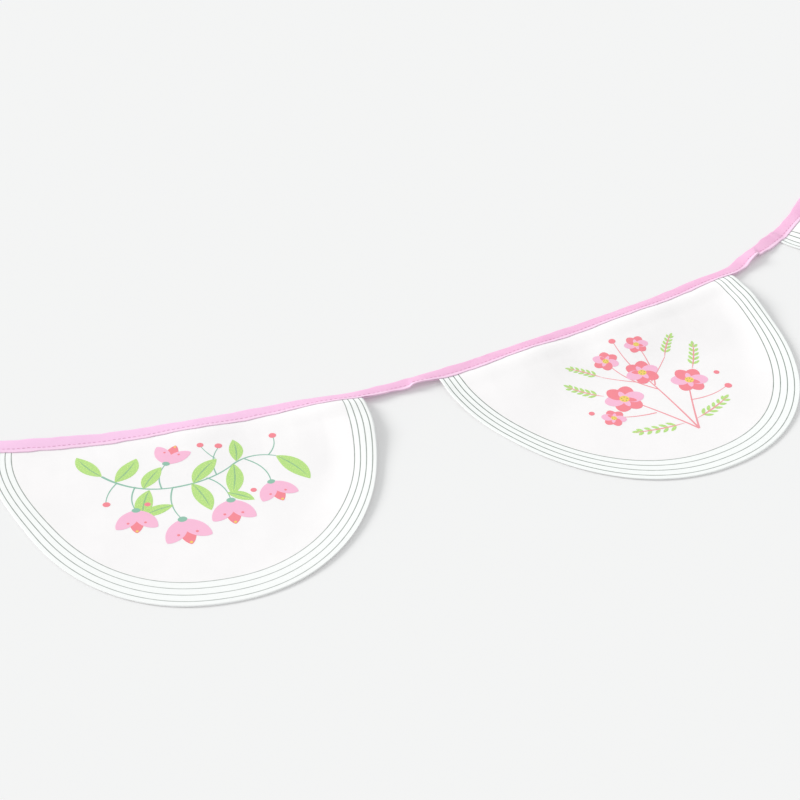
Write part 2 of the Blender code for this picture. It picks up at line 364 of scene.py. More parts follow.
def by_side(index, turn, kind=""):
    """A value round a pennant's rim, from its values at the left side, the foot and the right
    side. The turn is -90 degrees at the left side, 0 at the foot and 90 at the right side, in
    radians."""
    left, foot, right = (PENNANTS[name + kind][index] for name in ("left", "foot", "right"))
    side = (left + right) / 2 + (right - left) / 2 * np.sin(turn)
    return foot * np.cos(turn) ** 2 + side * np.sin(turn) ** 2


def rim_lift(index, across, below):
    """How far the outer share of a pennant stands off the surface: most at the rim, nothing
    inside."""
    x = across / (PENNANT_WIDTH / 2)
    y = np.maximum(below, 0.0) / PENNANT_DEPTH
    out = (np.abs(x) ** SCALLOP_POWER + y**SCALLOP_POWER) ** (1 / SCALLOP_POWER)
    return by_side(index, np.arctan2(x, y)) * ramp((out - 1 + RIM_SHARE) / RIM_SHARE)


def ridges(index, across, below):
    """The soft ridges of one pennant: a bell across each, fading with the distance from the
    tape."""
    height = np.zeros(np.shape(across))
    for pennant, middle, half_width, high, reach in RIDGE_ROWS:
        if pennant == index:
            height += high * bell((across - middle) / half_width) * (1 - ramp(below / reach))
    return height


def small_waves(index, across, below):
    """The fine unevenness of one pennant: gathers that fade below the tape, and broad low waves
    whose crests wander. Neither goes below the surface."""
    gathers = 1 + uneven(across + GATHER_SLANT * below, GATHER_LENGTH, GATHER_SEED + index)
    gathers = gathers * np.exp(-np.maximum(below, 0.0) / GATHER_REACH)
    wander = WAVE_WANDER * uneven(below, WAVE_LENGTH, WANDER_SEED + index)
    slant = across * WAVE_WAY[0] + below * WAVE_WAY[1] + wander
    broad = (1 + uneven(slant, WAVE_LENGTH, WAVE_SEED + index)) * (
        1 + uneven(below - CROSS_SLANT * across, WAVE_LENGTH, CROSS_SEED + index)
    )
    return GATHER_HEIGHT / 2 * gathers + WAVE_HEIGHT / 4 * broad


def fading(past, length):
    """Two weights over a length past the tape: the share of the held edge's place that is left, 1
    to 0, and how far the cloth still runs on in the direction in which it left the tape."""
    t = np.clip(past / length, 0.0, 1.0)
    return 1 - 3 * t**2 + 2 * t**3, t * (1 - t) ** 2 * length


def on_pennant(index, across, below):
    """A point of a pennant's middle surface, from its place in the flat cloth: across from its
    middle and below the tape's lower edge. Inside the tape it follows the slot. Below it, it
    leaves in the tape's plane, comes down onto the surface, and takes up the flat pennant's own
    place."""
    along = PENNANTS["start"][index] + PENNANT_WIDTH / 2 + across
    held = on_tape(along, TAPE_WIDTH / 2 + np.minimum(below, LEAVE), 0.0)
    edge = on_tape(along, TAPE_WIDTH / 2 + LEAVE, 0.0)
    leaving = edge - on_tape(along, TAPE_WIDTH / 2, 0.0)
    leaving /= np.linalg.norm(leaving, axis=-1, keepdims=True)
    middle, chord, down = pennant_frame(index)
    past = np.maximum(below - LEAVE, 0.0)
    flat_edge = middle + across[..., None] * chord
    stay, drift = fading(past, EASE)
    plan = flat_edge + past[..., None] * down
    plan = plan + stay[..., None] * (edge[..., :2] - flat_edge)
    plan = plan + drift[..., None] * (leaving[..., :2] - down)
    bowed = fading(past, PENNANT_DEPTH)[1] / (DRIFT_PEAK * PENNANT_DEPTH)
    plan = plan + PENNANTS["bow"][index] * bowed[..., None] * chord
    stay = fading(past, FALL)[0]
    drift = fading(past, RUN)[1]
    height = CLOTH / 2 + stay * (edge[..., 2] - CLOTH / 2) + drift * leaving[..., 2]
    lifted = rim_lift(index, across, below) + ridges(index, across, below)
    height = height + ramp(past / RISE) * lifted
    height = height + ramp(past / GATHER_REACH) * small_waves(index, across, below)
    inside = (below <= LEAVE)[..., None]
    return np.where(inside, held, np.concatenate([plan, height[..., None]], axis=-1))


def over_pennant(index, across, below, above):
    """A point this far above a pennant's middle surface, along its normal: the cross product of the
    surface's two directions there, each from two points a little apart."""
    near = 0.2 * MM
    down = on_pennant(index, across, below + near) - on_pennant(index, across, below - near)
    right = on_pennant(index, across + near, below) - on_pennant(index, across - near, below)
    normal = np.cross(down, right)
    normal /= np.linalg.norm(normal, axis=-1, keepdims=True)
    return on_pennant(index, across, below) + above * normal


def round_off(a, b):
    """Carries a square of parameters, from -1 to 1 both ways, onto a disc of radius 1."""
    return a * np.sqrt(1 - b * b / 2), b * np.sqrt(1 - a * a / 2)


def rim_reach(turn):
    """How far the superellipse whose half sizes are 1 reaches at this turn."""
    full = np.abs(np.sin(turn)) ** SCALLOP_POWER + np.abs(np.cos(turn)) ** SCALLOP_POWER
    return full ** (-1 / SCALLOP_POWER)


def scallop(a, b):
    """Half a superellipse from a square of parameters: a from -1 to 1 across, b from 0 to 1
    down."""
    x, y = round_off(a, b)
    reach = rim_reach(np.arctan2(y, x))
    return x * reach * PENNANT_WIDTH / 2, LEAVE + y * reach * (PENNANT_DEPTH - LEAVE)


def line_places(index, across, below):
    """For each point, its line number and the space between lines there. The number is the
    distance to the nearest point of the pennant's edge, in spaces, less the first line's own."""
    turn = np.linspace(-np.pi / 2, np.pi / 2, OUTLINE_STEPS)
    reach = rim_reach(turn)
    edge_across = reach * np.sin(turn) * PENNANT_WIDTH / 2
    edge_below = LEAVE + reach * np.cos(turn) * (PENNANT_DEPTH - LEAVE)
    low = np.maximum(below, LEAVE)
    nearest = np.empty(across.shape, int)
    inset = np.empty(across.shape)
    for row in range(len(across)):
        apart = np.hypot(
            across[row][:, None] - edge_across[None, :], low[row][:, None] - edge_below[None, :]
        )
        nearest[row] = apart.argmin(axis=1)
        inset[row] = apart.min(axis=1)
    rim_turn = np.arctan2(edge_across / (PENNANT_WIDTH / 2), edge_below / PENNANT_DEPTH)
    spacing = by_side(index, rim_turn, "_spacing")[nearest]
    return inset / spacing - FIRST_LINE, spacing


def grid_faces(rows, cols, first=0):
    """The four corners of each cell of a grid of points, counter-clockwise seen from above when
    rows run down and columns run right."""
    corner = first + np.arange((rows - 1) * cols).reshape(rows - 1, cols)[:, :-1]
    return np.stack([corner, corner + cols, corner + cols + 1, corner + 1], axis=-1).reshape(-1, 4)


def tube_faces(count, rows, cols):
    """The faces of many like tubes: each has rows of rings with an even number of points, cols, and
    its two end rings are closed by fans of four-cornered faces."""
    ring = np.arange(cols)
    after = np.roll(ring, -1)
    row = np.arange(rows - 1)[:, None] * cols
    cells = np.stack([row + ring, row + after, row + cols + after, row + cols + ring], axis=-1)
    step = np.arange(1, cols - 1, 2)
    fan = np.stack([0 * step, step, step + 1, step + 2], axis=-1)
    tube = np.concatenate([cells.reshape(-1, 4), fan[:, ::-1], fan + (rows - 1) * cols])
    first = np.arange(count)[:, None, None] * rows * cols
    return (first + tube).reshape(-1, 4)


def mesh_piece(name, points, faces, materials, flat=None, inks=None):
    """A new object from points and four-cornered faces, with an optional UV map of flat places for
    each point and an optional material number for each face."""
    mesh = bpy.data.meshes.new(name)
    mesh.from_pydata(points.reshape(-1, 3), [], faces)
    for material in materials:
        mesh.materials.append(material)
    if flat is not None:
        layer = mesh.uv_layers.new(name=CLOTH_MAP)
        corners = flat.reshape(-1, 2)[faces.ravel()]
        layer.uv.foreach_set("vector", corners.astype(np.float32).ravel())
    if inks is not None:
        mesh.polygons.foreach_set("material_index", inks.astype(np.int32))
    mesh.shade_smooth()
    mesh.validate()
    mesh.update()
    piece = bpy.data.objects.new(name, mesh)
    bpy.context.scene.collection.objects.link(piece)
    return piece


def point_values(piece, name, values):
    """Gives each point of a piece a number that its material can read."""
    layer = piece.data.attributes.new(name, "FLOAT", "POINT")
    layer.data.foreach_set("value", values.astype(np.float32).ravel())


def apply_shell(piece, thickness, offset, back=0):
    """Solidify, applied: the sheet becomes a closed shell. Back is how many slots on the other
    side's material lies."""
    shell = piece.modifiers.new("thickness", "SOLIDIFY")
    shell.thickness = thickness
    shell.offset = offset
    shell.use_even_offset = True
    shell.material_offset = back
    evaluated = piece.evaluated_get(bpy.context.evaluated_depsgraph_get())
    solid = bpy.data.meshes.new_from_object(evaluated)
    piece.modifiers.clear()
    old = piece.data
    piece.data = solid
    bpy.data.meshes.remove(old)
    solid.name = piece.name


# Materials


class Nodes:
    """Adds and joins the nodes of one new material with short calls."""

    def __init__(self, name):
        self.material = bpy.data.materials.new(name)
        self.material.use_nodes = True
        self.tree = self.material.node_tree
        self.shader = self.tree.nodes["Principled BSDF"]

    def feed(self, node, values):
        """Gives a node's inputs, by name or number, their values, or joins them to other outputs."""
        for key, value in values.items():
            if isinstance(value, bpy.types.NodeSocket):
                self.tree.links.new(value, node.inputs[key])
            else:
                node.inputs[key].default_value = value

    def add(self, kind, values, **settings):
        """A new node with these settings and these values of its inputs."""
        node = self.tree.nodes.new(kind)
        for key, value in settings.items():
            setattr(node, key, value)
        self.feed(node, values)
        return node

    def math(self, operation, first, second=0.0, third=0.0, clamp=False):
        values = {0: first, 1: second, 2: third}
        return self.add("ShaderNodeMath", values, operation=operation, use_clamp=clamp).outputs[0]

    def between(self, value, low, high):
        """0 below low and 1 above high, with a soft S between."""
        values = {"Value": value, "From Min": low, "From Max": high}
        node = self.add("ShaderNodeMapRange", values, interpolation_type="SMOOTHSTEP")
        return node.outputs["Result"]

    def mix(self, share, first, second):
        values = {"Factor": share, 6: first, 7: second}
        return self.add("ShaderNodeMix", values, data_type="RGBA").outputs[2]

    def split(self, place):
        """A place's separate numbers."""
        return self.add("ShaderNodeSeparateXYZ", {0: place}).outputs

    def value_of(self, name):
        return self.add("ShaderNodeAttribute", {}, attribute_name=name).outputs["Fac"]

    def noise(self, place, repeats, detail=2.0):
        """A cloudy value about 0.5, with this many clouds a metre."""
        values = {"Vector": place, "Scale": repeats, "Detail": detail}
        return self.add("ShaderNodeTexNoise", values).outputs["Fac"]

    def clouds(self, place, repeats, low=0.3, high=0.7, detail=2.0):
        """Noise as a share: 0 where it is below low and 1 where it is above high."""
        return self.between(self.noise(place, repeats, detail), low, high)

    def finish(self, colour, roughness, sheen):
        """Sets the matt, slightly downy surface of cotton."""
        self.feed(self.shader, {
            "Base Color": colour,
            "Roughness": roughness,
            "Sheen Weight": sheen,
            "Sheen Roughness": 0.4,
            "Specular IOR Level": 0.25,
        })
        return self.material


def weave(nodes, cloth):
    """Bump of a plain weave: crossing sine waves of the flat place, whose product swells at each
    crossing of two threads, roughened by noise for threads of uneven thickness."""
    place = nodes.add("ShaderNodeUVMap", {}, uv_map=CLOTH_MAP).outputs["UV"]
    warp, weft = (
        nodes.math("SINE", nodes.math("MULTIPLY", part, math.pi / cloth.weave_pitch))
        for part in nodes.split(place)[:2]
    )
    crossing = nodes.math("ABSOLUTE", nodes.math("MULTIPLY", warp, weft))
    slubs = nodes.noise(place, SLUBS / cloth.weave_pitch)
    height = nodes.math("MULTIPLY_ADD", slubs, 0.8, crossing)
    relief = {"Strength": 0.6, "Distance": cloth.weave_depth, "Height": height}
    bump = nodes.add("ShaderNodeBump", relief)
    nodes.feed(nodes.shader, {"Normal": bump.outputs["Normal"]})
    return place


def cloth_material(name, cloth, ink_share):
    """White cotton with the border's four fine lines and its tinted band. Ink share is how strongly
    they show: about 1 on the face and little on the back, where they show through."""
    nodes = Nodes(name)
    place = weave(nodes, cloth)
    number = nodes.value_of(LINE_NUMBER)
    spacing = nodes.value_of(LINE_SPACING)
    nearest = nodes.math("MAXIMUM", nodes.math("ROUND", number), 0.0)
    nearest = nodes.math("MINIMUM", nearest, LINES - 1.0)
    apart = nodes.math("ABSOLUTE", nodes.math("SUBTRACT", number, nearest))
    apart = nodes.math("MULTIPLY", apart, spacing)
    ends = (cloth.line_width / 2 * (1 + side * LINE_SOFTNESS) for side in (-1, 1))
    line = nodes.math("SUBTRACT", 1.0, nodes.between(apart, *ends))
    wear = nodes.math("MULTIPLY_ADD", nodes.noise(place, WEAR_CLOUDS), WEAR_RANGE, WEAR_LEAST)
    wide = nodes.between(spacing, CLOSE_LINES, WIDE_LINES)
    wear = nodes.math("MULTIPLY_ADD", wide, -WIDE_FADE, wear)
    line = nodes.math("MULTIPLY", line, nodes.math("MULTIPLY", wear, ink_share, clamp=True))
    inside = nodes.between(number, LINES - 1.0, LINES - 1.0 + BAND_SOFTNESS)
    cloudy = nodes.clouds(place, CLOTH_CLOUDS)
    ground = nodes.mix(cloudy, cloth.colour, cloth.shade_colour)
    band = nodes.mix(ink_share, ground, cloth.band_colour)
    ground = nodes.mix(inside, band, ground)
    return nodes.finish(nodes.mix(line, ground, cloth.line_colour), 0.85, 0.08)


def tape_material(tape):
    """Pink woven tape with painted light, paler towards its left end: its threads' tone wanders a
    little, and its edge past the stitches is painted paler, a painted highlight."""
    nodes = Nodes("tape_weave")
    place = weave(nodes, tape)
    along, round_it = nodes.split(place)[:2]
    from_fold = nodes.math("ABSOLUTE", round_it)
    # Painted highlight: the tape's edge past the stitches is painted a paler pink.
    painted_highlight = nodes.between(from_fold, TAPE_WIDTH - STITCH_INSET, TAPE_WIDTH - STITCH_INSET / 2)
    cloudy = nodes.clouds(place, TAPE_CLOUDS, detail=4.0)
    ground = nodes.mix(cloudy, tape.colour, tape.shade_colour)
    # Painted light: the paler pink towards the tape's left end stands in for how the light falls
    # there.
    ground = nodes.mix(nodes.between(along, PAINTED_LIGHT_UNTIL, FULL_PINK_FROM), tape.painted_lit_colour, ground)
    return nodes.finish(nodes.mix(painted_highlight, ground, tape.edge_highlight_colour), 0.8, 0.15)


def thread_material(tape):
    """Matt sewing thread, whose tone changes a little from stitch to stitch."""
    nodes = Nodes("sewing_thread")
    place = nodes.add("ShaderNodeTexCoord", {}).outputs["Object"]
    cloudy = nodes.clouds(place, THREAD_CLOUDS, 0.35, 0.65)
    return nodes.finish(nodes.mix(cloudy, tape.thread_colour, tape.colour), 0.7, 0.1)


def ink_material(name, colour, speckle, cloth):
    """Printed ink: the cloth's own weave under one colour, with fine specks of a second one."""
    nodes = Nodes(name)
    specks = nodes.clouds(weave(nodes, cloth), SPECKS, 0.50, 0.62, 3.0)
    return nodes.finish(nodes.mix(specks, colour, speckle), 0.85, 0.05)


# The cloth pieces


def make_pennant(index, cloth):
    """One pennant: the strip inside the tape and the scallop below it, as one grid of flat places
    that the pennant's surface carries into space."""
    a = np.linspace(-1, 1, CLOTH_COLUMNS + 1)[None, :]
    b = np.linspace(0, 1, CLOTH_ROWS + 1)[:, None]
    across, below = scallop(a + 0 * b, b + 0 * a)
    tuck = np.linspace(-TUCK, LEAVE, TUCK_ROWS + 1)[:-1, None] + 0 * a
    across = np.concatenate([a * PENNANT_WIDTH / 2 + 0 * tuck, across])
    below = np.concatenate([tuck, below])
    face = cloth_material("printed_cotton_%d" % (index + 1), cloth, PENNANTS["print"][index])
    back = cloth_material("cotton_back_%d" % (index + 1), cloth, cloth.show_through)
    piece = mesh_piece(
        "printed_pennant_%d" % (index + 1),
        on_pennant(index, across, below),
        grid_faces(*across.shape),
        [face, back],
        np.stack([across, below], axis=-1),
    )
    number, spacing = line_places(index, across, below)
    point_values(piece, LINE_NUMBER, number)
    point_values(piece, LINE_SPACING, spacing)
    apply_shell(piece, CLOTH, 0.0, back=1)
    return piece


def upper_face(along, across):
    """How far the middle of the tape's upper ply lies above the tape's middle plane: the slot, a
    crown between the fold and the stitches, and an edge past the stitches that stands up
    unevenly."""
    stitch = TAPE_WIDTH / 2 - STITCH_INSET
    crown = np.clip((across + TAPE_WIDTH / 2) / (stitch + TAPE_WIDTH / 2), 0, 1)
    uneven_crown = 1 + CROWN_UNEVEN * uneven(along, CROWN_LENGTH, CROWN_SEED)
    crown = np.sin(np.pi * crown) ** CROWN_POWER * uneven_crown
    uneven_flare = 1 + FLARE_UNEVEN * uneven(along, EDGE_LENGTH, FLARE_SEED)
    flare = ramp((across - stitch) / STITCH_INSET) * uneven_flare
    return half_slot(along) + TAPE_PUFF * crown + FLARE * flare


def make_tape():
    """The folded tape: a U section carried along the tape's path. Its fold and its lower edges
    wander in and out a little, its upper face is crowned, and its lower face is flat."""
    count = int(round((TAPE_END - TAPE_START) / TAPE_STEP)) + 1
    along = np.linspace(TAPE_START, TAPE_END, count)[:, None]
    half = half_slot(along)
    wander = EDGE_WANDER * (1 + (FREE_WANDER - 1) * free_share(along))
    fold = half - TAPE_WIDTH / 2 + PLY / 2 + wander * uneven(along, EDGE_LENGTH, FOLD_SEED)
    share = np.linspace(0, 1, PLY_STEPS + 1)[None, :]
    bend = np.linspace(0, np.pi, FOLD_STEPS + 1)[None, 1:-1]
    edge = TAPE_WIDTH / 2 - PLY / 2 + wander * uneven(along, EDGE_LENGTH, EDGE_SEED)
    top = edge + (fold - edge) * share
    across = np.concatenate([top, fold - half * np.sin(bend), top[:, ::-1]], axis=1)
    above = np.concatenate(
        [upper_face(along + 0 * top, top), half * np.cos(bend), -half + 0 * top], axis=1
    )
    points = on_tape(along + 0 * across, across, above)
    section = np.hypot(np.diff(across, axis=1), np.diff(above, axis=1))
    round_it = np.concatenate([0 * along, np.cumsum(section, axis=1)], axis=1)
    round_it = round_it - round_it[:, -1:] / 2
    flat = np.stack([along + 0 * across, round_it], axis=-1)
    return points, flat


def make_stitches(tape, side):
    """A row of stitches on one side of the tape: short closed tubes, thinner at both ends, whose
    ends dip into the tape. Side is 1 on the upper face and -1 on the lower one."""
    pitch = tape.stitch_length + tape.stitch_space
    margin = pitch / 2
    middles = np.arange(TAPE_START + margin, TAPE_END - margin, pitch)
    draw = np.random.default_rng(STITCH_SEED)
    drift = draw.uniform(-1, 1, len(middles)) * tape.stitch_wander
    reach = tape.stitch_length / 2 * (1 + STITCH_UNEVEN * draw.uniform(-1, 1, len(middles)))
    s = np.linspace(-1, 1, STITCH_RINGS)[None, :, None]
    turn = -side * np.linspace(0, 2 * np.pi, STITCH_SIDES + 1)[None, None, :-1]
    thick = tape.thread_width / 2 * np.maximum(1 - s**4, 0.1) ** 0.5
    along = middles[:, None, None] + reach[:, None, None] * s + 0 * turn
    line = TAPE_WIDTH / 2 - STITCH_INSET
    line = line + drift[:, None, None] + ROW_WANDER * uneven(along, ROW_LENGTH, ROW_SEED)
    face = upper_face(along, line) if side > 0 else half_slot(along)
    face = face + PLY / 2 + tape.thread_width * (STITCH_RISE - STITCH_DIP * s**2)
    across = line + thick * np.cos(turn)
    above = side * (face + thick * THREAD_FLATNESS * np.sin(turn))
    return on_tape(along, across, above)


# The prints: flat shapes in the cloth, in millimetres across from the pennant's middle and below
# the tape. Turns are in degrees, 0 to the right and 90 down.

# The inks, by their numbers: the material's name, its colour and its specks' colour
INKS = (
    ("leaf_ink", "leaf", "speckle"),
    ("vein_ink", "vein", "leaf"),
    ("stem_ink", "stem", "stem"),
    ("rose_ink", "rose", "rose"),
    ("pale_pink_ink", "pink", "pink"),
    ("coral_ink", "coral", "coral"),
    ("yellow_ink", "yellow", "yellow"),
    ("dot_ink", "dots", "dots"),
)
LEAF_GREEN, VEIN_GREEN, STEM_GREEN, ROSE, PALE_PINK, CORAL, YELLOW, DOT_GREEN = range(len(INKS))

# A stem's row gives its start, the place towards which it sets out, its end and its width. A
# leaf's or a frond's gives its root, turn, length, width and bend, a flower's its middle, turn
# and size, and a berry's its middle and size.

# The trailing vine with cup flowers
VINE_STEMS = (
    (-50, 30, -36, 50, -14, 50, 1.5), (-14, 50, 8, 50, 22, 38, 1.3),
    (22, 38, 34, 28, 48, 36, 1.1), (-34, 44, -40, 56, -37, 66, 0.9),
    (-14, 50, -20, 66, -13, 79, 0.9), (6, 46, 16, 54, 16, 69, 0.9), (30, 34, 42, 44, 41, 58, 0.9),
    (-20, 50, -22, 36, -14, 27, 0.9), (12, 44, 10, 30, 18, 20, 0.8), (14, 30, 10, 24, 8, 17, 0.7),
    (44, 34, 50, 28, 50, 20, 0.8), (-43, 38, -50, 46, -52, 55, 0.8),
)
VINE_LEAVES = (
    (-50, 30, 232, 24, 10, 20), (-44, 37, 318, 25, 10, -22), (-30, 47, 296, 22, 9, 20),
    (-27, 49, 118, 27, 10, -24), (-3, 49, 66, 27, 10, 18), (-2, 49, 300, 25, 10, 24),
    (23, 37, 92, 28, 10, 18), (25, 35, 286, 20, 8, -20), (48, 36, 46, 29, 11, 24),
    (-16, 66, 172, 20, 8, -20), (15, 62, 24, 17, 7, 20),
)
VINE_FLOWERS = (
    (-37, 66, 96, 19), (-13, 79, 84, 21), (16, 69, 92, 20), (41, 58, 78, 18), (-14, 27, 300, 17),
)
VINE_BERRIES = (
    (18, 19, 4.4), (8, 16, 4.0), (50, 18, 4.4), (-52, 57, 4.4), (-30, 62, 3.6), (30, 63, 3.6),
)

# The bunch with round flowers and fronds
BUNCH_STEMS = (
    (2, 112, -6, 92, -20, 68, 1.2), (2, 112, 4, 84, 3, 54, 1.2), (2, 112, 12, 92, 24, 72, 1.2),
    (-11, 88, -24, 86, -34, 80, 0.9), (3, 70, -10, 52, -10, 34, 0.9),
    (4, 66, 14, 50, 15, 30, 0.9), (14, 88, 28, 92, 40, 88, 0.8), (3, 58, 0, 40, 3, 20, 0.8),
    (1, 62, -10, 54, -20, 44, 0.8), (4, 62, 14, 55, 25, 46, 0.8),
)
BUNCH_FRONDS = (
    (-2, 104, 186, 32, 11, 14), (6, 104, -8, 30, 11, -14), (-29, 60, 222, 24, 10, 16),
    (33, 64, -46, 26, 10, -16), (25, 46, -54, 22, 9, 14), (-20, 44, 236, 22, 9, -14),
)
BUNCH_FLOWERS = (
    (-20, 68, 10, 25), (4, 52, 0, 22), (25, 72, 24, 23), (-36, 80, 40, 15), (15, 28, 15, 16),
    (-10, 32, 50, 17),
)
BUNCH_BERRIES = (
    (3, 18, 4.6), (42, 88, 4.6), (-45, 70, 3.6), (44, 74, 3.6),
)


def disc_grid(steps):
    """A grid of points over a disc of radius 1."""
    places = np.linspace(-1, 1, steps + 1)
    return round_off(*np.meshgrid(places, places))


def away(across, below, distance, angle):
    """The point this far away at this angle, in radians."""
    return across + distance * math.cos(angle), below + distance * math.sin(angle)


def turned(x, y, across, below, turn):
    """The flat shape turned and then moved to its place."""
    angle = math.radians(turn)
    return np.stack(
        [
            across + x * math.cos(angle) - y * math.sin(angle),
            below + x * math.sin(angle) + y * math.cos(angle),
        ],
        axis=-1,
    )


def blade(across, below, turn, length, width, bend, points=1.0, steps=8):
    """A leaf or a petal from its root: a disc whose width is narrowed towards its ends, by the
    square of the place along it to this power, and whose line then bends round an arc."""
    x, y = disc_grid(steps)
    y = y * np.maximum(1 - x * x, 1e-4) ** (points / 2)
    s = (x + 1) / 2 * length
    side = y * width / 2
    curl = math.radians(bend)
    angle = curl * s / length
    mid_x = length / curl * np.sin(angle)
    mid_y = length / curl * (1 - np.cos(angle))
    return turned(mid_x - side * np.sin(angle), mid_y + side * np.cos(angle), across, below, turn)


def dot(across, below, size, flatness=1.0, turn=0.0):
    """A round or oval spot."""
    x, y = disc_grid(4)
    return turned(x * size / 2, y * size / 2 * flatness, across, below, turn)


def stem(across, below, bend_across, bend_below, to_across, to_below, width):
    """A ribbon along a quadratic curve, from its start towards the bend and on to its end, a little
    thinner at the end."""
    t = np.linspace(0, 1, 21)[None, :]
    x = (1 - t) ** 2 * across + 2 * t * (1 - t) * bend_across + t * t * to_across
    y = (1 - t) ** 2 * below + 2 * t * (1 - t) * bend_below + t * t * to_below
    dx, dy = np.gradient(x, axis=1), np.gradient(y, axis=1)
    length = np.hypot(dx, dy)
    side = np.array([-0.5, 0.0, 0.5])[:, None] * width * (1 - 0.4 * t)
    return np.stack([x - side * dy / length, y + side * dx / length], axis=-1)


def leaf_parts(across, below, turn, length, width, bend):
    """A pointed leaf and its middle vein."""
    face = blade(across, below, turn, length, width, bend, 0.9)
    vein = blade(across, below, turn, length * 0.86, 0.9, bend * 0.86, 0.4)
    return [(face, 1, LEAF_GREEN), (vein, 2, VEIN_GREEN)]


def cup_flower(across, below, turn, size):
    """A cup flower: two pale petals that lean apart, a coral one between, three specks and a
    cup."""
    parts = []
    for lean, width, ink in ((-26, 0.52, PALE_PINK), (26, 0.52, PALE_PINK), (0, 0.44, CORAL)):
        petal = blade(across, below, turn + lean, size, size * width, lean * 0.9 + 0.5, 0.45)
        parts.append((petal, 4 if lean else 3, ink))
    for lean, share in ((-0.42, 0.62), (0.42, 0.62), (0.0, 0.92)):
        speck = away(across, below, size * share, math.radians(turn) + lean)
        parts.append((dot(*speck, size * 0.085), 6, CORAL if lean else YELLOW))
    parts.append((dot(across, below, size * 0.26, 0.8, turn + 90), 5, STEM_GREEN))
    return parts


def round_flower(across, below, turn, size):
    """A round flower: six broad petals, six small ones over them in the other pink, and a yellow
    centre ringed with dots."""
    parts = []
    for petal in range(6):
        way = turn + 60 * petal
        outer = CORAL if petal % 3 else PALE_PINK
        inner = PALE_PINK if petal % 3 else CORAL
        parts.append((blade(across, below, way, size / 2, size * 0.40, 0.5, 0.1), 3, outer))
        parts.append((blade(across, below, way + 30, size * 0.30, size * 0.15, 0.5, 0.3), 4, inner))
    parts.append((dot(across, below, size * 0.24), 5, YELLOW))
    for angle in np.radians(turn + 72 * np.arange(5)):
        speck = away(across, below, size * 0.07, angle)
        parts.append((dot(*speck, size * 0.035), 6, DOT_GREEN))
    return parts


def frond_parts(across, below, turn, length, width, bend):
    """A frond: a bent vein with pairs of small oval leaflets that shorten towards its tip."""
    parts = [(blade(across, below, turn, length, 0.9, bend, 0.3), 2, ROSE)]
    for share in (0.2, 0.36, 0.52, 0.68, 0.84):
        root = away(across, below, length * share, math.radians(turn + bend * share / 2))
        for side in (-1, 1):
            way = turn + bend * share + side * 48
            long = width * (0.62 - 0.25 * share)
            parts.append((blade(*root, way, long, width * 0.2, side * -20, 0.6), 1, LEAF_GREEN))
    root = away(across, below, length * 0.88, math.radians(turn + bend / 2))
    tip = blade(*root, turn + bend, width * 0.5, width * 0.2, 0.5, 0.6)
    return parts + [(tip, 1, LEAF_GREEN)]


def spray(stems, ink, leaves, leaf, flowers, flower, berries):
    """Every shape of one spray, with its layer and its ink."""
    parts = [(stem(*row), 0, ink) for row in stems]
    for row in leaves:
        parts += leaf(*row)
    for row in flowers:
        parts += flower(*row)
    return parts + [(dot(*row), 3, CORAL) for row in berries]


VINE = (VINE_STEMS, STEM_GREEN, VINE_LEAVES, leaf_parts, VINE_FLOWERS, cup_flower, VINE_BERRIES)
BUNCH = (BUNCH_STEMS, ROSE, BUNCH_FRONDS, frond_parts, BUNCH_FLOWERS, round_flower, BUNCH_BERRIES)
PRINTS = (VINE, BUNCH, VINE)
INK_THICKNESS = 0.00002
INK_EDGE = 40.0  # the rims of the ink are shaded as edges, and do not round its face
LAYER_STEP = 0.000012
SHAPES_APART = 12  # this many shapes in turn lie at heights of their own within a layer


def make_print(index, inks):
    """The spray of one pennant: every flat shape laid on the cloth's face, each layer a hair higher
    than the one under it, as one mesh."""
    points, flats, faces, numbers = [], [], [], []
    first = 0
    for number, (shape, layer, ink) in enumerate(spray(*PRINTS[index])):
        flat = shape * MM
        level = layer + 1 + number % SHAPES_APART / SHAPES_APART
        above = CLOTH / 2 + INK_THICKNESS + LAYER_STEP * level
        points.append(over_pennant(index, flat[..., 0], flat[..., 1], above).reshape(-1, 3))
        flats.append(flat.reshape(-1, 2))
        cells = grid_faces(*flat.shape[:2], first)
        faces.append(cells)
        numbers.append(np.full(len(cells), ink))
        first += len(points[-1])
    piece = mesh_piece(
        "flower_print_%d" % (index + 1),
        np.concatenate(points),
        np.concatenate(faces),
        inks,
        np.concatenate(flats),
        np.concatenate(numbers),
    )
    apply_shell(piece, INK_THICKNESS, -1.0)
    piece.data.set_sharp_from_angle(angle=math.radians(INK_EDGE))
    return piece


# Settings


def colour_setting(name, description, default):
    """A colour that a user can change."""
    return bpy.props.FloatVectorProperty(
        name=name, description=description, default=(*default, 1.0),
        subtype="COLOR", size=4, min=0.0, max=1.0,
    )


def number_setting(name, description, default, **kind):
    """A number that a user can change."""
    return bpy.props.FloatProperty(name=name, description=description, default=default, **kind)


def length_setting(name, description, default):
    """A length that a user can change."""
    return number_setting(
        name, description, default, min=0.0, unit="LENGTH", subtype="DISTANCE", precision=5
    )


def angle_setting(name, description, degrees):
    """An angle that a user can change."""
    return number_setting(name, description, math.radians(degrees), subtype="ANGLE")


class ClothSettings(bpy.types.PropertyGroup):
    """The pennants' cotton and its printed border."""

    colour: colour_setting("Colour", "The cotton's own white", (0.957, 0.938, 0.942))
    shade_colour: colour_setting("Shade", "The darker white of its clouds", (0.937, 0.920, 0.924))
    band_colour: colour_setting("Band", "Tinted white between the lines", (0.945, 0.965, 0.955))
    line_colour: colour_setting("Lines", "Grey green of the printed lines", (0.16, 0.20, 0.17))
    line_width: length_setting("Line width", "Width of one printed line", 0.00057)
    weave_pitch: length_setting("Thread pitch", "From one thread to the next", 0.00042)
    weave_depth: length_setting("Weave depth", "How far the threads stand up", 0.00006)
    show_through: number_setting(
        "Show-through", "How much of the border shows on the back", 0.12,
        min=0.0, max=1.0, subtype="FACTOR",
    )


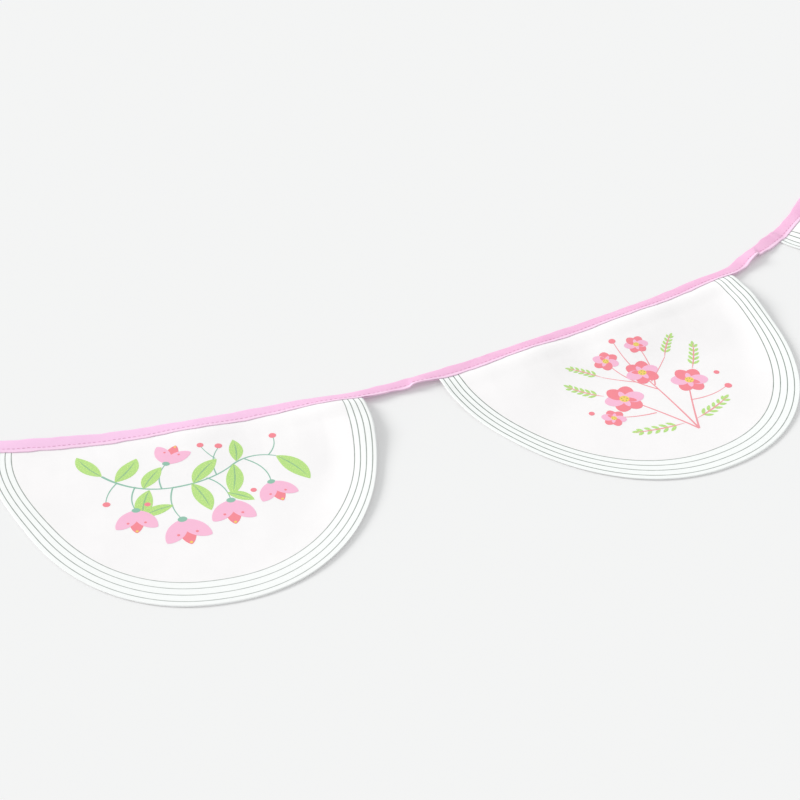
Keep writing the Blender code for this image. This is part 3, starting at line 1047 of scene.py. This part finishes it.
class TapeSettings(bpy.types.PropertyGroup):
    """The binding tape and its stitches."""

    colour: colour_setting("Colour", "The tape's pink", (0.90, 0.515, 0.73))
    shade_colour: colour_setting("Shade", "The pink of its darker threads", (0.87, 0.465, 0.69))
    # Painted light: the paler pink of the tape's left part.
    painted_lit_colour: colour_setting("Painted light", "The pink of its paler left part", (0.95, 0.60, 0.84))
    # Painted highlight: the paler pink of the tape's edge past the stitches.
    edge_highlight_colour: colour_setting("Edge highlight", "Paler pink past the stitches", (0.95, 0.66, 0.85))
    thread_colour: colour_setting("Thread", "The stitches' darker pink", (0.62, 0.32, 0.46))
    weave_pitch: length_setting("Thread pitch", "From one thread to the next", 0.00045)
    weave_depth: length_setting("Weave depth", "How far the threads stand up", 0.00008)
    stitch_length: length_setting("Stitch length", "Length of one stitch", 0.0023)
    stitch_space: length_setting("Stitch space", "From one stitch's end to the next", 0.0006)
    stitch_wander: length_setting("Stitch wander", "How far a stitch leaves the line", 0.00012)
    thread_width: length_setting("Thread width", "Width of the sewing thread", 0.00032)


class PrintSettings(bpy.types.PropertyGroup):
    """The inks of the flower sprays."""

    leaf: colour_setting("Leaf", "Light green of the leaves", (0.46, 0.74, 0.24))
    speckle: colour_setting("Speckle", "Yellow green specks in the leaves", (0.66, 0.85, 0.30))
    vein: colour_setting("Vein", "Middle veins of the leaves", (0.30, 0.52, 0.30))
    stem: colour_setting("Stem", "Grey green stems", (0.30, 0.55, 0.43))
    rose: colour_setting("Rose stem", "Rose pink stems", (0.90, 0.36, 0.40))
    pink: colour_setting("Pale pink", "Light petals", (0.95, 0.52, 0.70))
    coral: colour_setting("Coral", "Strong petals and berries", (0.93, 0.27, 0.32))
    yellow: colour_setting("Yellow", "Flower centres", (0.93, 0.66, 0.16))
    dots: colour_setting("Dots", "Green dots in the centres", (0.32, 0.42, 0.16))


class StageSettings(bpy.types.PropertyGroup):
    """The floor and the studio light."""

    floor_colour: colour_setting("Floor", "The pale floor", (0.751, 0.751, 0.751))
    # Painted light: the floor glows though no lamp is in it, which lightens the shadows cast on it.
    painted_floor_glow: number_setting(
        "Floor glow", "Light that the floor gives off, as a lit table does", 0.130, min=0.0
    )
    key_colour: colour_setting("Key colour", "Colour of the soft key light", (1.0, 0.99, 0.98))
    fill_colour: colour_setting("Fill colour", "Colour of the light all round", (0.985, 1.0, 1.0))
    key_strength: number_setting("Key strength", "Strength of the key light", 2.00, min=0.0)
    fill_strength: number_setting(
        "Fill strength", "Strength of the light all round", 0.724, min=0.0
    )
    key_height: angle_setting("Key height", "Angle of the key light above the floor", 30)
    key_turn: angle_setting("Key turn", "Way the shadows fall, from +X towards -Y", 12)
    key_spread: angle_setting("Key spread", "Angle across the key light, which softens it", 28)


# Operators


class BUNTING_OT_prints(bpy.types.Operator):
    """Lays the printed flower sprays on the pennants"""

    bl_idname = "bunting.make_prints"
    bl_label = "Flower prints"

    def execute(self, context):
        colours = context.scene.bunting_print
        cloth = context.scene.bunting_cloth
        inks = [
            ink_material(name, getattr(colours, colour), getattr(colours, specks), cloth)
            for name, colour, specks in INKS
        ]
        for index in range(len(PENNANT_ROWS)):
            piece = make_print(index, inks)
            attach(piece, BODY)
        return {"FINISHED"}


class BUNTING_OT_pennants(bpy.types.Operator):
    """Makes the thin printed pennants"""

    bl_idname = "bunting.make_pennants"
    bl_label = "Pennants"

    def execute(self, context):
        for index in range(len(PENNANT_ROWS)):
            piece = make_pennant(index, context.scene.bunting_cloth)
            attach(piece, BODY)
            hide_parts("pennant_%d" % (index + 1))
        return {"FINISHED"}


class BUNTING_OT_tape(bpy.types.Operator):
    """Makes the folded binding tape"""

    bl_idname = "bunting.make_tape"
    bl_label = "Binding tape"

    def execute(self, context):
        points, flat = make_tape()
        material = tape_material(context.scene.bunting_tape)
        piece = mesh_piece("folded_tape", points, grid_faces(*points.shape[:2]), [material], flat)
        apply_shell(piece, PLY, 0.0)
        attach(piece, BODY)
        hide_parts("binding_tape")
        return {"FINISHED"}


class BUNTING_OT_stitches(bpy.types.Operator):
    """Sews the two rows of stitches along the tape"""

    bl_idname = "bunting.sew_stitches"
    bl_label = "Stitches"

    def execute(self, context):
        tape = context.scene.bunting_tape
        rows = np.concatenate([make_stitches(tape, side) for side in (1, -1)])
        faces = tube_faces(*rows.shape[:3])
        piece = mesh_piece("tape_stitches", rows, faces, [thread_material(tape)])
        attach(piece, BODY)
        return {"FINISHED"}


class BUNTING_OT_stage(bpy.types.Operator):
    """Sets the floor, the light and the camera"""

    bl_idname = "bunting.set_stage"
    bl_label = "Stage"

    def execute(self, context):
        stage = context.scene.bunting_stage
        scene = context.scene
        floor_nodes = Nodes("pale_floor")
        floor_nodes.feed(floor_nodes.shader, {
            "Base Color": stage.floor_colour,
            "Roughness": 1.0,
            "Specular IOR Level": 0.0,
            # Painted light: the floor's glow, which lightens the shadows cast on it.
            "Emission Color": (1.0, 1.0, 1.0, 1.0),
            "Emission Strength": stage.painted_floor_glow,
        })
        half = FLOOR_SIZE / 2
        x, y = np.meshgrid([-half, half], [half, -half])
        points = np.stack([x, y, 0 * x - FLOOR_DROP], axis=-1)
        floor = mesh_piece("floor", points, grid_faces(2, 2), [floor_nodes.material])
        key = bpy.data.lights.new("soft_key", "SUN")
        key.energy = stage.key_strength
        key.angle = stage.key_spread
        key.color = stage.key_colour[:3]
        lamp = bpy.data.objects.new("soft_key", key)
        lamp.rotation_euler = (0.0, math.pi / 2 - stage.key_height, math.pi - stage.key_turn)
        scene.collection.objects.link(lamp)
        world = bpy.data.worlds.new("studio")
        world.use_nodes = True
        sky = world.node_tree.nodes["Background"]
        sky.inputs["Color"].default_value = stage.fill_colour
        sky.inputs["Strength"].default_value = stage.fill_strength
        scene.world = world
        lens = bpy.data.cameras.new("photo_angle")
        lens.lens = LENS
        lens.sensor_width = SENSOR
        camera = bpy.data.objects.new("photo_angle", lens)
        camera.location = CAMERA_PLACE
        camera.rotation_euler = (math.radians(CAMERA_PITCH), 0.0, 0.0)
        scene.collection.objects.link(camera)
        scene.camera = camera
        scene.view_settings.view_transform = "Standard"
        return {"FINISHED"}


class BUNTING_PT_sidebar(bpy.types.Panel):
    """Lists the bunting's operators and settings"""

    bl_label = "Fabric bunting"
    bl_space_type = "VIEW_3D"
    bl_region_type = "UI"
    bl_category = "Bunting"

    def draw(self, context):
        for operator in OPERATORS:
            self.layout.operator(operator.bl_idname)
        for name in SETTINGS:
            box = self.layout.box()
            group = getattr(context.scene, name)
            for key in group.bl_rna.properties.keys():
                if key not in ("rna_type", "name"):
                    box.prop(group, key)


SETTINGS = {
    "bunting_cloth": ClothSettings,
    "bunting_tape": TapeSettings,
    "bunting_print": PrintSettings,
    "bunting_stage": StageSettings,
}
OPERATORS = (
    BUNTING_OT_stage,
    BUNTING_OT_prints,
    BUNTING_OT_pennants,
    BUNTING_OT_stitches,
    BUNTING_OT_tape,
)


def register():
    """Makes the settings, operators and panel known."""
    for name, group in SETTINGS.items():
        bpy.utils.register_class(group)
        setattr(bpy.types.Scene, name, bpy.props.PointerProperty(type=group))
    for operator in OPERATORS:
        bpy.utils.register_class(operator)
    bpy.utils.register_class(BUNTING_PT_sidebar)


def unregister():
    """Takes them out again, in the other order."""
    bpy.utils.unregister_class(BUNTING_PT_sidebar)
    for operator in reversed(OPERATORS):
        bpy.utils.unregister_class(operator)
    for name, group in reversed(SETTINGS.items()):
        delattr(bpy.types.Scene, name)
        bpy.utils.unregister_class(group)


def main():
    """Makes the stage and every piece."""
    register()
    bpy.ops.bunting.set_stage()
    bpy.ops.bunting.make_prints()
    bpy.ops.bunting.make_pennants()
    bpy.ops.bunting.sew_stitches()
    bpy.ops.bunting.make_tape()


if __name__ == "__main__":
    main()
